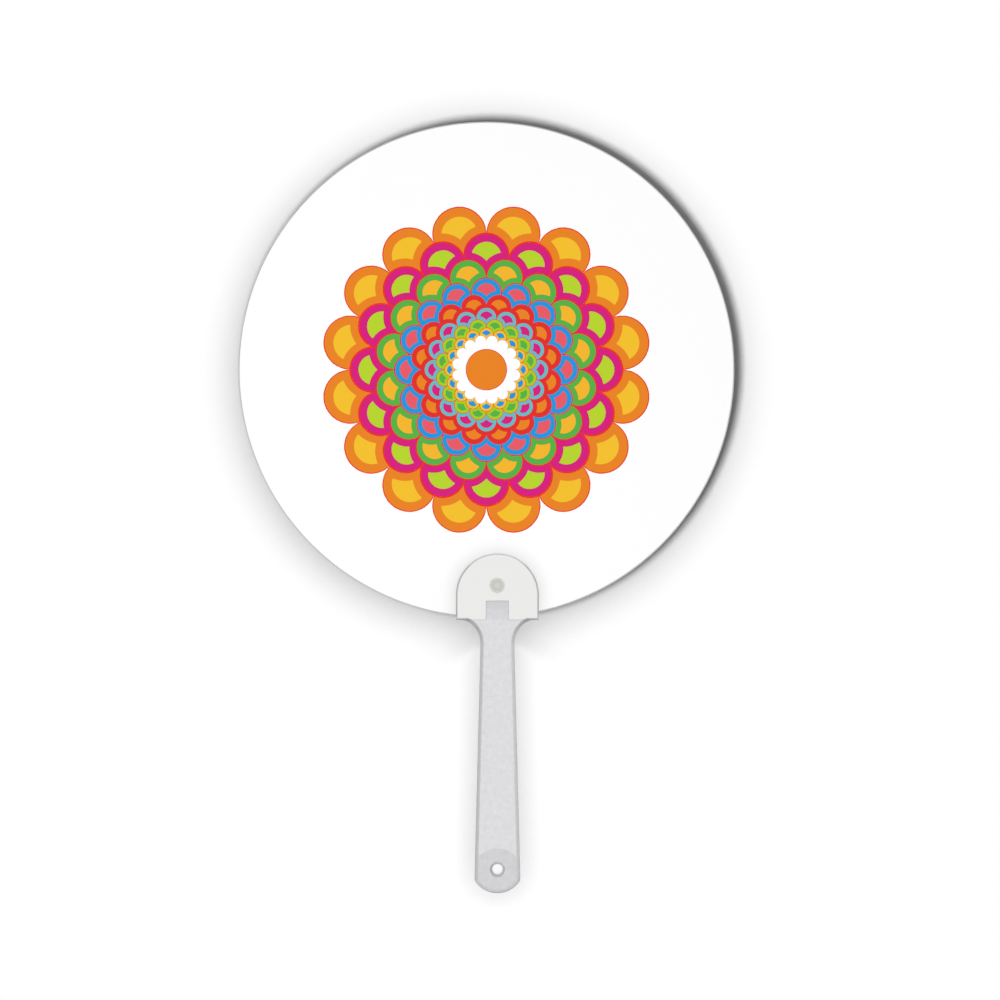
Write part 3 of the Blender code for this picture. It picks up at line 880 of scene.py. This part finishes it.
def make_snap_pin(material):
    """The dish in the head is a smooth hollow ring round a raised middle."""
    head_radius = PIN_HEAD_RADIUS
    profile = []
    for step in range(DISH_FACETS + 1):
        out = step / DISH_FACETS
        hollow = (1 - PIN_MIDDLE_SHARE) * math.sin(math.pi * out) ** 2
        depth = PIN_DISH_DEPTH * (PIN_MIDDLE_SHARE * (1 - out) + hollow)
        profile.append((PIN_DISH_RADIUS * out, PIN_FRONT_Y + depth))
    profile += [
        (head_radius - PIN_HEAD_ROUND, PIN_FRONT_Y),
        (head_radius, PIN_FRONT_Y + PIN_HEAD_ROUND),
        (head_radius, PIN_HEAD_BACK_Y), (PIN_SHANK_RADIUS, PIN_HEAD_BACK_Y),
        (PIN_SHANK_RADIUS, PIN_END_Y - PIN_END_CHAMFER),
        (PIN_SHANK_RADIUS - PIN_END_CHAMFER, PIN_END_Y), (0, PIN_END_Y),
    ]
    pin = turned("grey_snap_pin", profile, PIN_Z)
    half, low, high = PIN_SLOT_HALF, PIN_Z - 2 * PIN_SHANK_RADIUS, PIN_Z + 2 * PIN_SHANK_RADIUS
    slot = [(-half, low), (half, low), (half, high), (-half, high)]
    cut(pin, loft("pin_slot", slot, [(0, PIN_END_Y - PIN_SLOT_DEPTH), (0, PIN_END_Y + OVERRUN)]))
    freeze(pin)
    smooth(pin)
    tone(pin, pin_painted_shade)
    hand_over(pin, material, "clip", "natural_plastic", "snap_pin")
    return pin


# Studio

WALL_Y = 14 * MM
FLOOR_Z = TIP_Z - 60 * MM
WALL_REACH, FLOOR_REACH = 0.75, 2.0
FLOOR_SHADE, FLOOR_WHITE = 0.9, 0.85

# Light: a level is what a lamp adds to a white face square to it
SUN_POWER = math.pi  # for a level of one
POINT_POWER = 4 * math.pi**2  # the same, where the light doesn't fall off
AMBIENT = 0.12
FILL = 0.14
FILL_INNER, FILL_OUTER = 15, 50  # degrees off the front, between which the fill light comes
FILL_EDGE = 0.04  # how softly, in the cosine
KEY = 0.78
KEY_DISTANCE = 0.85
KEY_SLOPES = (0.135, 0.105)  # of its light: to the right and up, for each metre back
KEY_RADIUS = 105 * MM
BACK, BACK_TOWARDS, BACK_SPREAD = 1.4, (0.3, -0.8, -0.5), 60
SIDE, SIDE_TOWARDS, SIDE_SPREAD = 0.36, (-1.0, -0.05, -0.3), 30

# Painted shade that the backdrop takes from pieces near it, and where it is white: plain far off,
# painted light behind the blade and the hang hole
CONTACT_LEAN = math.radians(21)  # it leans down by this, as if the soft light came from above
CONTACT_SHARES = (0.75, 0.25)  # its strength at the blade's rim, and where it has faded
CONTACT_FADE = 30 * MM  # outside the rim, where it has
CONTACT_REACH = 28 * MM  # how far off a piece still gives it
STEM_CONTACT_SHARE, STEM_CONTACT_REACH = 0.95, 15 * MM  # the same beside the stem
BY_STEM_FROM, BY_STEM_TO = 2 * MM, 12 * MM  # nearer to the stem than to the blade, as it sets in
SHADE_FROM, SHADE_TO = 10 * MM, 28 * MM  # outside the fan, between which the paper turns white
CORE_WHITE = 0.45  # the share of white well behind the blade, for the light that bounces in there
CORE_FROM, CORE_TO = -18 * MM, -4 * MM  # from the blade's rim, between which it runs out
# Painted light: a white spot on the paper behind the hang hole, so that the hole looks clear.
HOLE_SPOT_PAINTED_LIGHT = 0.8  # the share of white behind the hang hole
SPOT_FROM, SPOT_TO = 1.7 * MM, 3.5 * MM  # from its middle, between which it runs out

# Camera
PHOTO_WIDTH = 0.363  # of the fan's plane, across the picture
LENS, SENSOR = 200.0, 36.0
PICTURE_CENTRE = (0.94 * MM, 97.7 * MM)


def sheet_of_stage(name, corners, material):
    mesh = bpy.data.meshes.new(name)
    mesh.from_pydata(corners, [], [(0, 1, 2, 3)])
    mesh.materials.append(material)
    sheet = bpy.data.objects.new(name, mesh)
    bpy.context.collection.objects.link(sheet)
    sheet.visible_glossy = False
    sheet.visible_transmission = False
    sheet.visible_shadow = False
    return sheet


def backdrop_look(tree):
    """Paper with painted shade close to the fan, white far from it, and painted light well behind
    the blade and behind the hang hole.
    """
    where = place(tree, "ShaderNodeTexCoord").outputs["Object"]

    def distance(point):
        return vector_sums(tree, "DISTANCE", where, point)["Value"]

    from_blade = sums(tree, "SUBTRACT", distance((BLADE_X, WALL_Y, BLADE_Z)), BLADE_RADIUS)
    on_handle = vector_sums(tree, "MAXIMUM", where, (-STEM_END_HALF, WALL_Y, TIP_Z))[0]
    on_handle = vector_sums(tree, "MINIMUM", on_handle, (STEM_END_HALF, WALL_Y, DOME_Z))[0]
    from_handle = distance(on_handle)
    from_fan = sums(tree, "MINIMUM", from_blade, from_handle)
    from_hole = distance((0, WALL_Y, HANG_HOLE_Z))
    white = sums(
        tree, "MAXIMUM",
        ramped(tree, from_fan, SHADE_FROM, SHADE_TO, 0.0, 1.0),
        ramped(tree, from_hole, SPOT_FROM, SPOT_TO, HOLE_SPOT_PAINTED_LIGHT, 0.0),
    )
    core = ramped(tree, from_blade, CORE_FROM, CORE_TO, CORE_WHITE, 0.0)
    white = sums(tree, "MAXIMUM", white, core)

    nearer = sums(tree, "SUBTRACT", from_blade, from_handle)
    by_stem = ramped(tree, nearer, BY_STEM_FROM, BY_STEM_TO, 0.0, 1.0)
    share = ramped(tree, from_blade, 0.0, CONTACT_FADE, *CONTACT_SHARES)
    share = ramped(tree, by_stem, 0.0, 1.0, share, STEM_CONTACT_SHARE)
    reach = ramped(tree, by_stem, 0.0, 1.0, CONTACT_REACH, STEM_CONTACT_REACH)
    lean = place(tree, "ShaderNodeCombineXYZ", {
        1: -math.cos(CONTACT_LEAN), 2: math.sin(CONTACT_LEAN),
    }).outputs[0]
    openness = place(tree, "ShaderNodeAmbientOcclusion", {
        "Distance": reach, "Normal": lean,
    }, samples=8).outputs["AO"]
    painted_contact_shade = sums(tree, "MULTIPLY_ADD", share, sums(tree, "SUBTRACT", openness, 1.0), 1.0)
    return painted_contact_shade, white


def floor_look(tree):
    return FLOOR_SHADE, FLOOR_WHITE


def paper(name, look):
    """Pale paper that keeps shadows. Its look says its shade, and how much of plain white is seen.

    From behind it is clear, and it throws no light back on the fan.
    """
    material = bpy.data.materials.new(name)
    material.use_nodes = True
    tree = material.node_tree
    tree.nodes.remove(tree.nodes["Principled BSDF"])
    seen = place(tree, "ShaderNodeLightPath").outputs["Is Camera Ray"]
    shade, white_share = look(tree)
    shade = sums(tree, "MULTIPLY", seen, shade)
    lit = place(tree, "ShaderNodeBsdfDiffuse", {
        "Color": place(tree, "ShaderNodeCombineColor", {0: shade, 1: shade, 2: shade}).outputs[0],
    }).outputs[0]
    white = place(tree, "ShaderNodeEmission", {"Strength": 1.0}).outputs[0]
    front = place(tree, "ShaderNodeMixShader", {
        0: sums(tree, "MULTIPLY", seen, white_share), 1: lit, 2: white,
    }).outputs[0]
    behind = place(tree, "ShaderNodeNewGeometry").outputs["Backfacing"]
    through = place(tree, "ShaderNodeBsdfTransparent").outputs[0]
    both = place(tree, "ShaderNodeMixShader", {0: behind, 1: front, 2: through}).outputs[0]
    tree.links.new(both, tree.nodes["Material Output"].inputs["Surface"])
    return material


def sun(name, towards, level, spread):
    """A far lamp that shines one way, at a level, with a spread in degrees."""
    data = bpy.data.lights.new(name, "SUN")
    data.energy = level * SUN_POWER
    data.angle = math.radians(spread)
    data.cycles.max_bounces = 0
    lamp = bpy.data.objects.new(name, data)
    lamp.visible_glossy = False
    lamp.rotation_mode = "QUATERNION"
    lamp.rotation_quaternion = Vector(towards).to_track_quat("-Z", "Y")
    bpy.context.collection.objects.link(lamp)


def key_lamp(passed_through):
    """A soft round lamp in front of the blade, whose shadow of the blade is larger than the blade.

    Its level doesn't fall off, and the pieces it passes through cast no shadow of their own.
    """
    data = bpy.data.lights.new("key_lamp", "POINT")
    data.energy = KEY * POINT_POWER
    data.shadow_soft_size = KEY_RADIUS
    data.cycles.max_bounces = 0
    data.use_nodes = True
    falloff = place(data.node_tree, "ShaderNodeLightFalloff", {"Strength": 1.0}).outputs["Constant"]
    data.node_tree.links.new(falloff, data.node_tree.nodes["Emission"].inputs["Strength"])
    lamp = bpy.data.objects.new("key_lamp", data)
    across, up = KEY_SLOPES
    lamp.location = (BLADE_X - KEY_DISTANCE * across, -KEY_DISTANCE, BLADE_Z - KEY_DISTANCE * up)
    lamp.visible_camera = lamp.visible_glossy = lamp.visible_transmission = False
    bpy.context.collection.objects.link(lamp)
    blockers = bpy.data.collections.new("lets_key_light_through")
    lamp.light_linking.blocker_collection = blockers
    for number, piece in enumerate(passed_through):
        blockers.objects.link(piece)
        blockers.collection_objects[number].light_linking.link_state = "EXCLUDE"


def light_world():
    """Plain white where the camera sees it, and otherwise an even light and a frontal fill."""
    world = bpy.data.worlds.new("studio")
    bpy.context.scene.world = world
    world.use_nodes = True
    tree = world.node_tree
    path = place(tree, "ShaderNodeLightPath").outputs
    straight = sums(tree, "MAXIMUM", path["Is Camera Ray"],
                    sums(tree, "MAXIMUM", path["Is Glossy Ray"], path["Is Transmission Ray"]))
    frontal = sums(tree, "MULTIPLY", place(tree, "ShaderNodeSeparateXYZ", {
        0: place(tree, "ShaderNodeTexCoord").outputs["Generated"],
    }).outputs["Y"], -1.0)
    outer, inner = math.cos(math.radians(FILL_OUTER)), math.cos(math.radians(FILL_INNER))
    ring = sums(tree, "MULTIPLY", *(
        ramped(tree, frontal, angle - edge, angle + edge, 0.0, 1.0, interpolation_type="SMOOTHSTEP")
        for angle, edge in ((outer, FILL_EDGE), (inner, -FILL_EDGE))
    ))
    soft = sums(tree, "MULTIPLY_ADD", ring, FILL / (inner**2 - outer**2), AMBIENT)
    level = place(tree, "ShaderNodeMix", {0: straight, 2: soft, 3: 1.0}).outputs[0]
    background = tree.nodes["Background"]
    background.inputs["Color"].default_value = (1, 1, 1, 1)
    tree.links.new(level, background.inputs["Strength"])


def build_studio(handle, clip_pieces):
    wall, ground = WALL_REACH, FLOOR_REACH
    sheet_of_stage("backdrop", [
        (x, WALL_Y, z) for x, z in ((-wall, FLOOR_Z), (wall, FLOOR_Z), (wall, wall), (-wall, wall))
    ], paper("backdrop_paper", backdrop_look))
    floor = sheet_of_stage("floor", [
        (x * ground, y * ground, FLOOR_Z) for x, y in ((-1, -1), (1, -1), (1, 1), (-1, 1))
    ], paper("floor_paper", floor_look))
    floor.visible_diffuse = False
    key_lamp([handle] + clip_pieces)
    sun("back_lamp", BACK_TOWARDS, BACK, BACK_SPREAD)
    sun("side_lamp", SIDE_TOWARDS, SIDE, SIDE_SPREAD)
    light_world()

    data = bpy.data.cameras.new("camera")
    data.lens, data.sensor_width = LENS, SENSOR
    camera = bpy.data.objects.new("camera", data)
    across, up = PICTURE_CENTRE
    camera.location = (across, -PHOTO_WIDTH * LENS / SENSOR, up)
    camera.rotation_euler = (math.pi / 2, 0, 0)
    bpy.context.collection.objects.link(camera)
    bpy.context.scene.camera = camera
    bpy.context.scene.view_settings.view_transform = "Standard"


def main():
    frosted = plastic(
        "frosted_plastic", toned((0.765, 0.765, 0.78)), roughness=0.45, relief=0.03 * MM,
        grains=2600, clouds=550, cloud_share=0.6, tint=0.2, gloss=0.10,
        smears=60, smear_gloss=0.04, scuff_tint=0.02, transmission=0.12,
    )
    sheet = plastic(
        "white_sheet", sheet_white_and_painted_shade, roughness=0.33, relief=0.002 * MM,
        grains=4000, clouds=250, cloud_share=0.5, tint=0.008, gloss=0.05,
        smears=40, smear_gloss=0.05, scuff_tint=0.01, specular=0.3,
    )
    ink = plastic(
        "printed_ink", ink_colours, roughness=0.30, relief=0.002 * MM,
        grains=6000, clouds=300, cloud_share=0.4, tint=0.03, gloss=0.05,
        smears=40, smear_gloss=0.05, scuff_tint=0.02, specular=0.3,
    )
    white = plastic(
        "white_plastic", toned((0.795, 0.795, 0.785)), roughness=0.32, relief=0.008 * MM,
        grains=3200, clouds=300, cloud_share=0.4, tint=0.012, gloss=0.05,
        smears=90, smear_gloss=0.05, scuff_tint=0.01,
    )
    warm = plastic(
        "natural_plastic", toned((0.64, 0.63, 0.595)), roughness=0.38, relief=0.010 * MM,
        grains=3600, clouds=500, cloud_share=0.4, tint=0.03, gloss=0.06,
        smears=120, smear_gloss=0.05, scuff_tint=0.01,
    )
    handle = make_handle(frosted)
    make_blade(sheet)
    make_print(ink)
    clip_pieces = [make_clip_plate(white), make_snap_pin(warm)]
    build_studio(handle, clip_pieces)


main()
